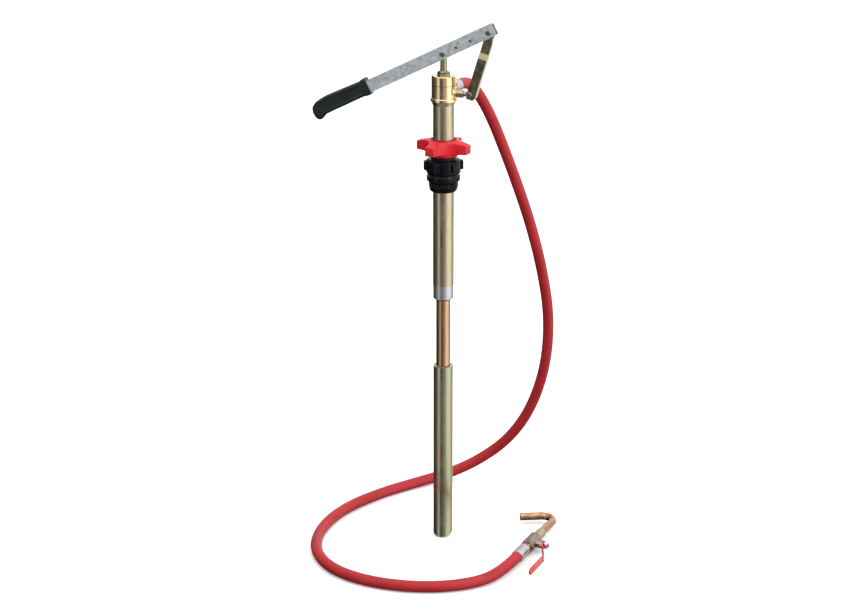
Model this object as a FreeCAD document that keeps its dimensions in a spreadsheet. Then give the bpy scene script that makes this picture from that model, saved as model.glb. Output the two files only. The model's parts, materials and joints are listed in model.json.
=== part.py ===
"""Hand-lever drum pump with a bung adapter, a telescopic suction tube and a hose with a valve and spout.

The frame's origin is on the pump's axis at the shoulder of the bung thread. +Z is up along the
tube, +X is the side of the lever's link, and the lever swings in the XZ plane. Millimetres.
"""
import FreeCAD
import Part
import Sketcher
import math
import os
from FreeCAD import Placement, Rotation, Vector

DRIVING_SIZES = {
    # pump tube and head
    "tube_outer": 42.0, "tube_wall": 1.5, "head_outer": 48.0, "bead_outer": 52.4,
    "cone_bottom": 152.5, "bead_bottom": 159.5, "bead_top": 166.5, "tube_top": 163.5,
    "seam_level": 192.0, "spigot_low": 187.5, "gasket_thick": 1.0, "head_top": 211.0,
    "rod_outer": 14.0, "run_gap": 0.05, "gland_flats": 22.0, "gland_height": 7.5,
    # bottom of the pump tube, suction tube and telescopic sleeve
    "housing_outer": 41.0, "housing_top": -218.0, "housing_bottom": -246.0, "housing_tip": -250.0,
    "suction_outer": 29.0, "suction_wall": 1.5, "suction_bottom": -434.0,
    "sleeve_outer": 40.0, "sleeve_wall": 1.25, "sleeve_top": -392.0, "sleeve_bottom": -772.0,
    "stop_top": -394.0, "stop_height": 8.0, "bush_height": 31.8,
    # foot valve and piston
    "seat_level": -232.0, "seat_bore": 18.0, "ball_outer": 22.0, "piston_top": -158.0,
    "piston_height": 20.0, "piston_outer": 37.4, "rod_tail_outer": 10.0, "rod_step": -150.0,
    # bung adapter and star nut
    "thread_outer": 59.6, "thread_bottom": -11.0, "adapter_tip": -23.5, "collar_outer": 67.6,
    "collar_top": 11.0, "waist_outer": 61.5, "body_outer": 69.0, "body_bottom": 15.0,
    "body_top": 43.0, "lug_reach": 79.4, "lug_width": 13.0, "lug_bottom": 21.0, "lug_top": 40.0,
    "neck_outer": 50.0, "neck_top": 62.0, "star_reach": 113.0, "star_bottom": 50.0,
    "lobe_bottom": 58.0, "lobe_top": 77.0, "star_top": 82.5, "hub_outer": 62.0,
    "scallop_radius": 42.7, "scallop_centre": 74.7, "recess_outer": 51.0,
    # lever, rod pivot and link
    "lever_slope": 26.5, "rod_pivot_level": 254.2, "channel_wide": 20.0, "channel_wall": 2.0,
    "channel_low": -10.0, "channel_high": 15.0, "channel_back": -245.0, "channel_front": 115.0,
    "hole_line": 0.7, "spare_hole": 6.4, "first_hole": 30.6, "second_hole": 62.7,
    "link_hole": 102.7, "bolt_outer": 6.0, "bolt_flats": 10.0, "bolt_head": 4.0,
    "nut_height": 5.0, "grip_wide": 25.0, "grip_cavity": -247.0,
    "anchor_reach": 54.0, "anchor_level": 176.0, "eye_outer": 17.0, "eye_thick": 12.0,
    "stud_outer": 10.0, "link_wide": 20.0, "link_narrow": 15.0, "link_wall": 2.0,
    "link_slope": 16.8, "link_length": 130.2, "joggle_low": 76.0, "joggle_high": 88.0,
    # outlet, hose and outlet valve
    "outlet_heading": 80.0, "outlet_level": 179.0, "boss_outer": 24.0, "boss_reach": 36.0,
    "nipple_flats": 22.0, "barb_outer": 15.2, "ferrule_outer": 25.8, "hose_exit": 67.7,
    "hose_outer": 23.0, "floor_level": -771.0, "valve_axis_height": 17.0,
    "ferrule_length": 38.0, "tail_flats": 23.0, "valve_flats": 26.0, "valve_outer": 28.0,
    "valve_centre": 77.0, "valve_ball": 22.0, "stem_outer": 8.0, "handle_wide": 15.0,
    "handle_thick": 2.5, "handle_offset": 53.0, "connector_outer": 20.0, "spout_outer": 16.2,
    "spout_wall": 1.2, "spout_start": 110.0, "spout_corner": 230.0, "spout_leg": 82.6,
    "spout_bend": 22.0, "spout_turn": 120.0,
}

# The hose's route between its first and last straight run, from the pump's outlet down to the floor
# and round the front of the pump to the valve.
HOSE_ROUTE = [
    (28, 136, 161), (42, 161, 127), (59, 180, 81), (78, 198, 21), (102, 215, -54),
    (128, 233, -143), (150, 254, -246), (164, 275, -360), (155, 293, -478), (121, 308, -587),
    (70, 317, -668), (5, 313, -723), (-57, 289, -753), (-115, 236, -759), (-184, 147, -759),
    (-235, 46, -759), (-251, -67, -759), (-228, -175, -759), (-162, -253, -759),
    (-63, -288, -759), (49, -280, -759), (139, -230, -758),
]
HOSE_FIRST_RUN = 38.0
HOSE_LAST_RUN = 60.0
HOSE_MOUTH = (183.5, -105.1)

doc = FreeCAD.newDocument("DrumPump")
sheet = doc.addObject("Spreadsheet::Sheet", "Sizes")


class Size:
    """A length that keeps both its value and the spreadsheet expression that gives it."""

    def __init__(self, value, text):
        self.value = value
        self.text = text

    def _join(self, other, sign, result):
        return Size(result, "(%s %s %s)" % (self.text, sign, as_size(other).text))

    def __add__(self, other):
        return self._join(other, "+", self.value + as_size(other).value)

    def __sub__(self, other):
        return self._join(other, "-", self.value - as_size(other).value)

    def __mul__(self, other):
        return self._join(other, "*", self.value * as_size(other).value)

    def __truediv__(self, other):
        return self._join(other, "/", self.value / as_size(other).value)

    def __neg__(self):
        return Size(-self.value, "(0 - %s)" % self.text)


def as_size(number):
    """Turn a plain number into a Size, and leave a Size as it is."""
    return number if isinstance(number, Size) else Size(float(number), repr(float(number)))


SIZE = {}
for row, (alias, number) in enumerate(DRIVING_SIZES.items(), start=1):
    sheet.set("A%d" % row, alias)
    sheet.set("B%d" % row, str(number))
    sheet.setAlias("B%d" % row, alias)
    SIZE[alias] = Size(number, "Sizes." + alias)
doc.recompute()

PIECES = []


def bind(thing, name, size):
    """Tie a property of an object to the spreadsheet."""
    thing.setExpression(name, as_size(size).text)


def half(alias):
    return SIZE[alias] / 2


# ---------------------------------------------------------------- shapes bound to the spreadsheet

def cylinder(radius, low, high, x=0, y=0):
    rod = doc.addObject("Part::Cylinder", "Cylinder")
    bind(rod, "Radius", radius)
    bind(rod, "Height", as_size(high) - low)
    bind(rod, "Placement.Base.x", x)
    bind(rod, "Placement.Base.y", y)
    bind(rod, "Placement.Base.z", low)
    return rod


def lying(radius, axis, low, high, first=0, second=0):
    """A cylinder along X (first, second are y and z) or along Y (first, second are x and z)."""
    rod = doc.addObject("Part::Cylinder", "CrossCylinder")
    bind(rod, "Radius", radius)
    bind(rod, "Height", as_size(high) - low)
    if axis == "X":
        rod.Placement = Placement(Vector(0, 0, 0), Rotation(Vector(0, 1, 0), 90))
        places = {"x": low, "y": first, "z": second}
    else:
        rod.Placement = Placement(Vector(0, 0, 0), Rotation(Vector(1, 0, 0), -90))
        places = {"x": first, "y": low, "z": second}
    for letter, size in places.items():
        bind(rod, "Placement.Base." + letter, size)
    return rod


def hexagon(flats, low, high, axis="Z", first=0, second=0, turn=0.0):
    """A hexagonal prism of a width across flats, along Z, X or Y."""
    prism = doc.addObject("Part::Prism", "Hexagon")
    prism.Polygon = 6
    bind(prism, "Circumradius", as_size(flats) / (2 * math.cos(math.radians(30))))
    bind(prism, "Height", as_size(high) - low)
    spin = Rotation(Vector(0, 0, 1), turn)
    if axis == "X":
        prism.Placement = Placement(Vector(0, 0, 0), Rotation(Vector(0, 1, 0), 90) * spin)
        places = {"x": low, "y": first, "z": second}
    elif axis == "Y":
        prism.Placement = Placement(Vector(0, 0, 0), Rotation(Vector(1, 0, 0), -90) * spin)
        places = {"x": first, "y": low, "z": second}
    else:
        prism.Placement = Placement(Vector(0, 0, 0), spin)
        places = {"x": first, "y": second, "z": low}
    for letter, size in places.items():
        bind(prism, "Placement.Base." + letter, size)
    return prism


def block(x, y, z):
    """A box from three (low, high) pairs."""
    box = doc.addObject("Part::Box", "Block")
    for letter, side, (low, high) in zip("xyz", ("Length", "Width", "Height"), (x, y, z)):
        bind(box, side, as_size(high) - low)
        bind(box, "Placement.Base." + letter, low)
    return box


def ball(radius, x=0, y=0, z=0):
    sphere = doc.addObject("Part::Sphere", "Ball")
    bind(sphere, "Radius", radius)
    for letter, size in zip("xyz", (x, y, z)):
        bind(sphere, "Placement.Base." + letter, size)
    return sphere


def fused(*shapes):
    union = doc.addObject("Part::MultiFuse", "Union")
    union.Shapes = list(shapes)
    return union


def cut(base, *tools):
    result = doc.addObject("Part::Cut", "Cut")
    result.Base = base
    result.Tool = tools[0] if len(tools) == 1 else fused(*tools)
    return result


def common(*shapes):
    overlap = doc.addObject("Part::MultiCommon", "Common")
    overlap.Shapes = list(shapes)
    return overlap


def outline(sketch, points):
    """Draw a closed polygon in a sketch, with each corner tied to the spreadsheet."""
    corners = [(as_size(u), as_size(v)) for u, v in points]
    places = [Vector(u.value, v.value, 0) for u, v in corners]
    count = len(places)
    for index in range(count):
        sketch.addGeometry(Part.LineSegment(places[index], places[(index + 1) % count]), False)
    for index in range(count):
        sketch.addConstraint(Sketcher.Constraint("Coincident", index, 2, (index + 1) % count, 1))
    for index, corner in enumerate(corners):
        for kind, axis, size in (("DistanceX", -2, corner[0]), ("DistanceY", -1, corner[1])):
            if size.value == 0:
                sketch.addConstraint(Sketcher.Constraint("PointOnObject", index, 1, axis))
                continue
            away = size.value > 0
            ends = (-1, 1, index, 1) if away else (index, 1, -1, 1)
            number = sketch.addConstraint(Sketcher.Constraint(kind, *ends, abs(size.value)))
            bind(sketch, "Constraints[%d]" % number, size if away else -size)


def turned(points):
    """A body turned about Z from an outline of (radius, height) corners."""
    body = doc.addObject("PartDesign::Body", "Turned")
    sketch = body.newObject("Sketcher::SketchObject", "Section")
    plane = [f for f in body.Origin.OriginFeatures if f.Role == "XZ_Plane"][0]
    sketch.AttachmentSupport = (plane, [""])
    sketch.MapMode = "FlatFace"
    outline(sketch, points)
    spin = body.newObject("PartDesign::Revolution", "Turn")
    spin.Profile = sketch
    spin.ReferenceAxis = (sketch, ["V_Axis"])
    spin.Angle = 360.0
    return body


def ring(outer, inner, low, high):
    """A plain ring of two radii between two heights."""
    return turned([(inner, low), (outer, low), (outer, high), (inner, high)])


PLATE_AXES = {
    "XZ": Rotation(Vector(1, 0, 0), Vector(0, 0, 1), Vector(0, -1, 0), "ZXY"),
    "YZ": Rotation(Vector(0, 1, 0), Vector(0, 0, 1), Vector(1, 0, 0), "ZXY"),
}


def plate(points, plane, back, front):
    """An outline drawn in a plane and pushed out by front along its normal and by back against it."""
    sketch = doc.addObject("Sketcher::SketchObject", "PlateOutline")
    outline(sketch, points)
    sketch.Placement = Placement(Vector(0, 0, 0), PLATE_AXES[plane])
    solid = doc.addObject("Part::Extrusion", "Plate")
    solid.Base = sketch
    solid.DirMode = "Normal"
    solid.Solid = True
    bind(solid, "LengthFwd", front)
    bind(solid, "LengthRev", back)
    return solid


def placed(shape, place):
    """A copy of a shape's place in another frame, for use inside a boolean."""
    holder = doc.addObject("Part::Compound", "Placed")
    holder.Links = [shape]
    holder.Placement = place
    return holder


def keep(name, shape, place=None):
    """Name a finished sub-part and put it where its frame says."""
    shape.Label = name
    if place is not None:
        shape.Placement = place.multiply(shape.Placement)
    PIECES.append(shape)
    return shape


S = SIZE
GAP = S["run_gap"]
TUBE_R = half("tube_outer")
BORE_R = TUBE_R - S["tube_wall"]
ROD_R = half("rod_outer")
CHANNEL_Y = half("channel_wide")
BOLT_R = half("bolt_outer")


def heading(angle):
    """The horizontal unit vector at an angle from +X."""
    return Vector(math.cos(math.radians(angle)), math.sin(math.radians(angle)), 0)


OUTWARD = heading(DRIVING_SIZES["outlet_heading"])
STEM_WAY = heading(DRIVING_SIZES["outlet_heading"] - 90.0)
UP = Vector(0, 0, 1)
# Local Z runs along the outlet and along the valve's pipe; the valve's local X is its stem.
OUTLET_TURN = Rotation(STEM_WAY, -UP, OUTWARD, "ZXY")
OUTLET = Placement(Vector(0, 0, DRIVING_SIZES["outlet_level"]), OUTLET_TURN)
VALVE_LEVEL = DRIVING_SIZES["floor_level"] + DRIVING_SIZES["valve_axis_height"]
VALVE = Placement(Vector(HOSE_MOUTH[0], HOSE_MOUTH[1], VALVE_LEVEL), OUTLET_TURN)
# Local X runs along the lever, from the rod's pivot towards the link.
LEVER = Placement(
    Vector(0, 0, DRIVING_SIZES["rod_pivot_level"]),
    Rotation(Vector(0, 1, 0), -DRIVING_SIZES["lever_slope"]),
)
# Local Z runs up the link from its pin in the anchor eye.
LINK = Placement(
    Vector(DRIVING_SIZES["anchor_reach"], 0, DRIVING_SIZES["anchor_level"]),
    Rotation(Vector(0, 1, 0), DRIVING_SIZES["link_slope"]),
)


def pump_tube_and_head():
    """The steel tube, the turned head on it with its outlet and anchor bosses, and the screwed cap."""
    keep("pump_tube", ring(TUBE_R, BORE_R, S["housing_top"], S["tube_top"]))

    head_r = half("head_outer")
    shell = turned([
        (TUBE_R + GAP, S["cone_bottom"]), (TUBE_R + 0.8, S["cone_bottom"]),
        (head_r, S["bead_bottom"]), (half("bead_outer") - 1, S["bead_bottom"]),
        (half("bead_outer"), S["bead_bottom"] + 1), (half("bead_outer"), S["bead_top"] - 1),
        (half("bead_outer") - 1, S["bead_top"]), (head_r, S["bead_top"]),
        (head_r, S["seam_level"]), (head_r - 3.4, S["seam_level"]),
        (head_r - 3.4, S["spigot_low"] - 0.2), (head_r - 6, S["spigot_low"] - 0.2),
        (head_r - 6, S["tube_top"]), (TUBE_R + GAP, S["tube_top"]),
    ])
    outlet_boss = cylinder(half("boss_outer"), head_r - 2, S["boss_reach"])
    outlet_bore = cylinder(half("barb_outer") - 0.05, 10, S["boss_reach"] + 1)
    outlet_boss, outlet_bore = placed(outlet_boss, OUTLET), placed(outlet_bore, OUTLET)
    anchor_boss = lying(8, "X", head_r - 2, head_r + 3, 0, S["anchor_level"])
    anchor_bore = lying(half("stud_outer") + GAP, "X", head_r - 8, head_r + 4, 0, S["anchor_level"])
    keep("pump_head", cut(fused(shell, outlet_boss, anchor_boss), outlet_bore, anchor_bore))

    keep("head_gasket", ring(head_r - 0.4, head_r - 3.3, S["seam_level"],
                             S["seam_level"] + S["gasket_thick"]))
    cap_low = S["seam_level"] + S["gasket_thick"]
    keep("head_cap", turned([
        (ROD_R + GAP, S["spigot_low"]), (head_r - 3.5, S["spigot_low"]),
        (head_r - 3.5, cap_low), (head_r, cap_low), (head_r, S["head_top"] - 1.2),
        (head_r - 1.2, S["head_top"]), (10, S["head_top"]), (10, S["head_top"] - 12),
        (ROD_R + GAP, S["head_top"] - 12),
    ]))
    keep("gland_packing", ring(9.95, ROD_R + GAP, S["head_top"] - 12, S["head_top"] - 6))
    gland_top = S["head_top"] + S["gland_height"]
    thread = cylinder(9.95, S["head_top"] - 6, S["head_top"])
    crown = turned([(0, gland_top), (half("gland_flats"), gland_top), (9.5, gland_top + 1.5),
                    (0, gland_top + 1.5)])
    body = hexagon(S["gland_flats"], S["head_top"], gland_top, turn=12.0)
    keep("gland_nut", cut(fused(thread, body, crown),
                          cylinder(ROD_R + GAP, S["head_top"] - 8, gland_top + 5)))


def foot_valve():
    """The housing screwed into the tube's end, with its ball on a seat under a holed cage."""
    housing_r = half("housing_outer")
    chamber = half("ball_outer") + 3
    spigot_top = S["housing_top"] + 14
    keep("foot_valve_housing", turned([
        (half("suction_outer") + GAP, S["housing_tip"]), (15.7, S["housing_tip"]),
        (housing_r, S["housing_bottom"]), (housing_r, S["housing_top"]),
        (BORE_R, S["housing_top"]), (BORE_R, spigot_top), (chamber, spigot_top),
        (chamber, S["seat_level"]), (half("seat_bore"), S["seat_level"]),
        (half("seat_bore"), S["seat_level"] - 4), (half("suction_outer") + GAP, S["seat_level"] - 4),
    ]))
    rise = math.sqrt((DRIVING_SIZES["ball_outer"] ** 2 - DRIVING_SIZES["seat_bore"] ** 2) / 4)
    keep("foot_valve_ball", ball(half("ball_outer"), 0, 0, S["seat_level"] + rise + 0.05))
    cage = cylinder(chamber - 0.05, spigot_top - 3.5, spigot_top - 1)
    holes = [cylinder(3.2, spigot_top - 5, spigot_top, 8.5 * math.cos(a), 8.5 * math.sin(a))
             for a in (math.radians(45 + 90 * k) for k in range(4))]
    keep("foot_valve_cage", cut(cage, *holes))


def suction_tubes():
    """The inner suction tube with its bush, and the sleeve that slides on it with its stop ring."""
    suction_r = half("suction_outer")
    sleeve_r = half("sleeve_outer")
    sleeve_bore = sleeve_r - S["sleeve_wall"]
    keep("suction_tube", ring(suction_r, suction_r - S["suction_wall"], S["suction_bottom"],
                              S["seat_level"] - 4))
    keep("guide_bush", ring(sleeve_bore - 0.1, suction_r + 0.02, S["suction_bottom"],
                            S["suction_bottom"] + S["bush_height"]))
    stop_low = S["stop_top"] - S["stop_height"]
    keep("sleeve_stop_ring", ring(sleeve_bore, suction_r + 0.1, stop_low, S["stop_top"]))
    # The mouth is cut on a slope, lowest in front, so that it can't seal against a drum's bottom.
    tube = ring(sleeve_r, sleeve_bore, S["sleeve_bottom"], S["sleeve_top"])
    front_level = S["floor_level"] + 2.4
    slope = plate([(-sleeve_r - 2, S["sleeve_bottom"] - 10), (sleeve_r + 2, S["sleeve_bottom"] - 10),
                   (sleeve_r + 2, front_level + 17), (-sleeve_r - 2, front_level - 0.8)],
                  "YZ", sleeve_r + 5, sleeve_r + 5)
    keep("suction_sleeve", cut(tube, slope))


def piston_group():
    """The piston rod with the piston, its two cups, its valve disc and its nut."""
    top = S["piston_top"]
    low = top - S["piston_height"]
    tail_r = half("rod_tail_outer")
    rod = fused(cylinder(ROD_R, S["rod_step"], S["rod_pivot_level"] + 8),
                cylinder(tail_r, low - 9, S["rod_step"]))
    eye = lying(BOLT_R + 0.08, "Y", -ROD_R - 2, ROD_R + 2, 0, S["rod_pivot_level"])
    keep("piston_rod", cut(rod, eye))
    piston_r = half("piston_outer")
    groove = piston_r - 3.5
    disc = turned([
        (tail_r, low), (piston_r, low), (piston_r, low + 3), (groove, low + 3), (groove, low + 7),
        (piston_r, low + 7), (piston_r, top - 7), (groove, top - 7), (groove, top - 3),
        (piston_r, top - 3), (piston_r, top), (tail_r, top),
    ])
    ports = [cylinder(2.3, low - 1, top + 1, 10 * math.cos(a), 10 * math.sin(a))
             for a in (math.radians(60 * k) for k in range(6))]
    keep("piston", cut(disc, *ports))
    cup_r = BORE_R - 0.1
    keep("piston_cups", fused(ring(cup_r, groove, low + 3, low + 7),
                              ring(cup_r, groove, top - 7, top - 3)))
    keep("piston_valve_disc", ring(14, tail_r + 0.1, top + 0.02, top + 2))
    nut = hexagon(17, low - 8, low)
    keep("piston_nut", cut(nut, cylinder(tail_r, low - 10, low + 1)))


def bung_adapter():
    """The moulded adapter for the drum's bung, its gasket and the split collet that grips the tube."""
    thread_r = half("thread_outer")
    collar_r = half("collar_outer")
    body_r = half("body_outer")
    neck_r = half("neck_outer")
    slide_r = TUBE_R + GAP
    body = turned([
        (slide_r, S["adapter_tip"]), (TUBE_R + 1.2, S["adapter_tip"]),
        (TUBE_R + 5.5, S["adapter_tip"] + 2.5), (thread_r - 0.9, S["thread_bottom"] - 3.5),
        (thread_r, S["thread_bottom"]), (thread_r, 0), (collar_r - 1.6, 0), (collar_r, 1.6),
        (collar_r, S["collar_top"] - 2.5), (half("waist_outer"), S["collar_top"] + 1),
        (half("waist_outer"), S["body_bottom"] - 1), (body_r - 1.5, S["body_bottom"]),
        (body_r, S["body_bottom"] + 2), (body_r, S["body_top"] - 2), (body_r - 4, S["body_top"]),
        (neck_r, S["body_top"]), (neck_r, S["neck_top"]), (neck_r - 1.1, S["neck_top"]),
        (neck_r - 1.1, S["body_top"] + 3), (slide_r, S["body_top"] + 3),
    ])
    groove = ring(33, 30.5, -1, 1.5)
    lugs = []
    for index in range(6):
        lug = common(block((20, half("lug_reach")), (-half("lug_width"), half("lug_width")),
                           (S["lug_bottom"], S["lug_top"])),
                     ring(half("lug_reach"), 30, S["lug_bottom"] - 1, S["lug_top"] + 1))
        lug.Placement = Placement(Vector(0, 0, 0), Rotation(UP, 22 + 60 * index))
        lugs.append(lug)
    keep("bung_adapter", cut(fused(body, *lugs), groove))
    keep("bung_gasket", ring(33, 30.5, 0, 1.5))
    collet = ring(neck_r - 1.15, slide_r, S["body_top"] + 3, S["neck_top"] + 1)
    slot = block((0, neck_r), (-1, 1), (S["body_top"] + 2, S["neck_top"] + 2))
    keep("clamp_collet", cut(collet, slot))


def star_nut():
    """The four-lobed hand nut and the thrust ring under its shoulder that presses on the collet."""
    neck_r = half("neck_outer")
    hub_r = half("hub_outer")
    inner_r = TUBE_R + 0.6
    hub = turned([
        (neck_r + GAP, S["star_bottom"]), (hub_r - 2, S["star_bottom"]), (hub_r, S["lobe_bottom"]),
        (hub_r, S["lobe_top"]), (hub_r - 3, S["star_top"]), (half("recess_outer"), S["star_top"]),
        (half("recess_outer"), S["star_top"] - 4), (inner_r, S["star_top"] - 4),
        (inner_r, S["neck_top"] + 8), (neck_r + GAP, S["neck_top"] + 8),
    ])
    lobes = cylinder(half("star_reach"), S["lobe_bottom"], S["lobe_top"])
    core = cylinder(hub_r - 1, S["lobe_bottom"] - 1, S["lobe_top"] + 1)
    scallops = []
    for index in range(4):
        angle = math.radians(30 + 90 * index)
        scallops.append(cylinder(S["scallop_radius"], S["lobe_bottom"] - 1, S["lobe_top"] + 1,
                                 S["scallop_centre"] * math.cos(angle),
                                 S["scallop_centre"] * math.sin(angle)))
    keep("star_nut", fused(hub, cut(lobes, core, *scallops)))
    keep("thrust_ring", ring(neck_r - 0.6, inner_r, S["neck_top"] + 1.1, S["neck_top"] + 7.9))


def bolt(low, high, side, x=0, z=0):
    """A bolt's shank along Y from low to high, with its head at -Y and its thread at +Y."""
    head = hexagon(S["bolt_flats"], as_size(low) - S["bolt_head"], low, "Y", x, z, turn=side)
    return fused(lying(BOLT_R, "Y", low, as_size(high) + 7.5, x, z), head)


def bolt_nut(low, x=0, z=0):
    nut = hexagon(S["bolt_flats"], low, as_size(low) + S["nut_height"], "Y", x, z, turn=10.0)
    return cut(nut, lying(BOLT_R, "Y", as_size(low) - 1, as_size(low) + 9, x, z))


def lever_group():
    """The U-section lever with its spare holes, the moulded grip and the two pivot bolts."""
    low, high = S["channel_low"], S["channel_high"]
    wall = S["channel_wall"]
    outside = block((S["channel_back"], S["channel_front"]), (-CHANNEL_Y, CHANNEL_Y), (low, high))
    inside = block((S["channel_back"] - 1, S["channel_front"] + 1),
                   (-CHANNEL_Y + wall, CHANNEL_Y - wall), (low - 1, high - wall))
    across = (-CHANNEL_Y - 1, CHANNEL_Y + 1)
    holes = [lying(half("spare_hole"), "Y", *across, S[place], S["hole_line"])
             for place in ("first_hole", "second_hole")]
    holes.append(lying(BOLT_R, "Y", *across, 0, 0))
    holes.append(lying(BOLT_R, "Y", *across, S["link_hole"], S["hole_line"]))
    keep("lever_channel", cut(outside, inside, *holes), LEVER)

    grip_y = half("grip_wide")
    profile = [
        (-168, 19.8), (-170, 21.6), (-178, 21.6), (-184, 19.2), (-236, 20.8), (-264, 21.6),
        (-284, 18.8), (-294.5, 13.2), (-299, 4), (-300, -5), (-298, -12.5), (-293, -17.3),
        (-287, -17.3), (-282.5, -14.5), (-278, -11.6), (-186, -11.6), (-180, -13.6), (-171, -13.6),
        (-168, -12),
    ]
    skin = plate(profile, "XZ", grip_y, grip_y)
    cavity = block((S["grip_cavity"], -160), (-CHANNEL_Y, CHANNEL_Y), (low, high))
    keep("lever_grip", cut(skin, cavity), LEVER)

    keep("rod_bolt", bolt(-CHANNEL_Y, CHANNEL_Y, 0.0), LEVER)
    keep("rod_bolt_nut", bolt_nut(CHANNEL_Y), LEVER)
    link_x, link_z = S["link_hole"], S["hole_line"]
    whole = bolt(-CHANNEL_Y, CHANNEL_Y, 20.0, link_x, link_z)
    middle = block((link_x - 8, link_x + 8), (-CHANNEL_Y + wall, CHANNEL_Y - wall),
                   (link_z - 8, link_z + 8))
    keep("link_upper_bolt", cut(whole, middle), LEVER)
    keep("link_upper_nut", bolt_nut(CHANNEL_Y, link_x, link_z), LEVER)


def link_group():
    """The anchor eye screwed in the head with its lock nut, and the joggled link on its pin."""
    level = S["anchor_level"]
    reach = S["anchor_reach"]
    eye_r = half("eye_outer")
    stud = lying(half("stud_outer"), "X", half("head_outer") - 6, reach - 4, 0, level)
    eye = lying(eye_r, "Y", -half("eye_thick"), half("eye_thick"), reach, level)
    hole = lying(BOLT_R + GAP, "Y", -12, 12, reach, level)
    keep("anchor_eye", cut(fused(stud, eye), hole))
    nut_low = half("head_outer") + 3
    nut = hexagon(15, nut_low, nut_low + 14, "X", 0, level, turn=14.0)
    keep("anchor_lock_nut", cut(nut, lying(half("stud_outer"), "X", 10, reach, 0, level)))
    wide = half("link_wide")
    pin = bolt(-wide - 0.1, wide + 0.1, 8.0, reach, level)
    keep("link_lower_bolt", pin)
    keep("link_lower_nut", bolt_nut(wide + 0.1, reach, level))

    narrow = half("link_narrow")
    wall = S["link_wall"]
    bottom, top = -9.0, S["link_length"] + 7.5
    low, high = S["joggle_low"], S["joggle_high"]

    def section(side_low, side_high, below, above):
        return [(-side_low, below), (side_low, below), (side_low, low), (side_high, high),
                (side_high, above), (-side_high, above), (-side_high, high), (-side_low, low)]

    outer = plate(section(wide, narrow, bottom, top), "YZ", 5, 13)
    inner = plate(section(wide - wall, narrow - wall, bottom - 1, top + 1), "YZ", 7, 11)
    pivot = S["link_length"]
    side_shape = plate([
        (-3.5, bottom), (9.5, bottom), (13, -4), (13, pivot - 20), (9, pivot + 2), (5, top),
        (-3, top), (-5, pivot + 4), (-5, -5),
    ], "XZ", 15, 15)
    holes = [lying(BOLT_R + 0.08, "Y", -12, 12, 0, place) for place in (0, pivot)]
    keep("link_channel", cut(common(cut(outer, inner), side_shape), *holes), LINK)


def outlet_fittings():
    """The barbed nipple in the outlet boss, and the crimped ferrule over the hose's end."""
    barb_r = half("barb_outer")
    mouth = S["hose_exit"]
    shank = cylinder(barb_r - 0.1, half("head_outer") - 4, mouth)
    flats = hexagon(S["nipple_flats"], S["boss_reach"], S["boss_reach"] + 7)
    bore = cylinder(5, 0, mouth + 1)
    keep("outlet_nipple", cut(fused(shank, flats), bore), OUTLET)
    keep("pump_ferrule", ring(half("ferrule_outer"), barb_r, S["boss_reach"] + 7.5, mouth), OUTLET)


def swept(points, radius_of_bend, section_radii):
    """A solid along straight runs joined by tangent arcs, with a bore if a second radius is given."""
    edges = []
    start = points[0]
    for index in range(1, len(points) - 1):
        corner = points[index]
        before = corner - points[index - 1]
        after = points[index + 1] - corner
        turn = before.getAngle(after)
        radius = radius_of_bend(before.Length, after.Length, turn)
        setback = radius * math.tan(turn / 2)
        before.normalize()
        after.normalize()
        entry = corner - before * setback
        leave = corner + after * setback
        inward = (after - before).normalize()
        middle = corner + inward * (radius / math.cos(turn / 2) - radius)
        edges.append(Part.LineSegment(start, entry).toShape())
        edges.append(Part.Arc(entry, middle, leave).toShape())
        start = leave
    edges.append(Part.LineSegment(start, points[-1]).toShape())
    path = Part.Wire(edges)
    way = (points[1] - points[0]).normalize()
    solids = []
    for radius in section_radii:
        profile = Part.Wire([Part.Circle(points[0], way, radius).toShape()])
        solids.append(path.makePipeShell([profile], True, False))
    shape = solids[0] if len(solids) == 1 else solids[0].cut(solids[1])
    return shape, path.Length


def delivery_hose():
    """The hose as one plain round solid, from the pump's ferrule to the valve's."""
    exit_point = OUTWARD * DRIVING_SIZES["hose_exit"] + UP * DRIVING_SIZES["outlet_level"]
    mouth = Vector(HOSE_MOUTH[0], HOSE_MOUTH[1], VALVE_LEVEL)
    points = [exit_point, exit_point + OUTWARD * HOSE_FIRST_RUN]
    points += [Vector(*place) for place in HOSE_ROUTE]
    points += [mouth - OUTWARD * HOSE_LAST_RUN, mouth]
    radii = []

    def widest_arc(before, after, turn):
        radii.append(0.45 * min(before, after) / math.tan(turn / 2))
        return radii[-1]

    radius = DRIVING_SIZES["hose_outer"] / 2
    shape, length = swept(points, widest_arc, [radius])
    expected = math.pi * radius ** 2 * length
    print("hose length %.0f mm, volume / (section x length) %.5f" % (length, shape.Volume / expected))
    print("hose bend radii", [round(r) for r in radii])
    hose = doc.addObject("Part::Feature", "Hose")
    hose.Shape = shape
    keep("delivery_hose", hose)


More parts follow.
